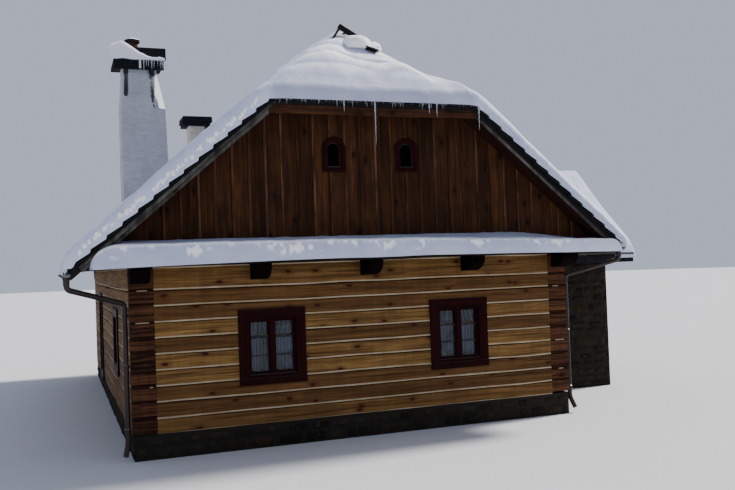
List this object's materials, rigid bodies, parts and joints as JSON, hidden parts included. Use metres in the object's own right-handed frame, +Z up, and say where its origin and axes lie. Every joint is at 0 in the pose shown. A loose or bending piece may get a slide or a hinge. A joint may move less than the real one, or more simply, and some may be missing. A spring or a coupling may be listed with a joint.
{
  "type": "snow-covered log chalet",
  "caption": "Log chalet on a stone plinth with a half-hipped snowy roof, boarded gables, pent roofs, chimneys and a stone side wing.",
  "frame": {"origin": "middle of the footprint's box, on the ground", "axes": "+Z up, the front gable faces -Y, the stone wing stands on the +X side"},
  "size_m": [12.1402, 13.6922, 8.32],
  "materials": {
    "stone": "rough rubble with lime joints",
    "floor_boards": "plain sawn boards",
    "log_wood": "hewn logs, honey brown, oiled",
    "dark_wood": "dark stained wood",
    "roof_shingle": "tarred shingles",
    "gable_wood": "dark brown stained boards with battens",
    "weathered_wood": "grey weathered boards",
    "snow": "fresh packed snow",
    "trim_paint": "oxblood paint, satin",
    "window_glass": "clear window glass",
    "plaster": "rough lime plaster, soot stained",
    "beige_plaster": "rough beige plaster",
    "black_metal": "black painted sheet metal",
    "clay": "fired clay",
    "pipe_metal": "dark brown painted sheet metal"
  },
  "bodies": {
    "root": {"stone_plinth": "stone", "ground_floor": "floor_boards", "front_log_wall": "log_wood", "back_log_wall": "log_wood", "left_log_wall": "log_wood", "right_log_wall": "log_wood", "attic_floor": "floor_boards", "front_console_1": "dark_wood", "front_console_2": "dark_wood", "front_console_3": "dark_wood", "front_console_4": "dark_wood", "front_console_5": "dark_wood", "back_consoles": "dark_wood", "roof_left": "roof_shingle", "roof_right": "roof_shingle", "front_hip": "roof_shingle", "back_hip": "roof_shingle", "ridge_cap": "roof_shingle", "front_gable": "gable_wood", "back_gable": "gable_wood", "front_pent_roof": "roof_shingle", "back_pent_roof": "roof_shingle", "front_verge_boards": "weathered_wood", "back_verge_boards": "weathered_wood", "front_pent_snow": "snow", "back_pent_snow": "snow", "front_window_left_frame": "trim_paint", "front_window_left_glass": "window_glass", "front_window_right_frame": "trim_paint", "front_window_right_glass": "window_glass", "back_window_left_frame": "trim_paint", "back_window_left_glass": "window_glass", "back_window_right_frame": "trim_paint", "back_window_right_glass": "window_glass", "left_window_frame": "trim_paint", "left_window_glass": "window_glass", "right_window_frame": "trim_paint", "right_window_glass": "window_glass", "door_frame": "trim_paint", "door": "dark_wood", "attic_window_left_frame": "trim_paint", "attic_window_left_glass": "window_glass", "attic_window_right_frame": "trim_paint", "attic_window_right_glass": "window_glass", "large_chimney": "plaster", "large_chimney_cap": "black_metal", "chimney_pot": "clay", "chimney_snow": "snow", "small_chimney": "beige_plaster", "small_chimney_cap": "black_metal", "wing_walls": "stone", "wing_roof": "roof_shingle", "roof_snow": "snow", "left_gutter": "pipe_metal", "left_downpipe": "pipe_metal", "right_gutter": "pipe_metal", "right_downpipe": "pipe_metal"}
  },
  "joints": []
}
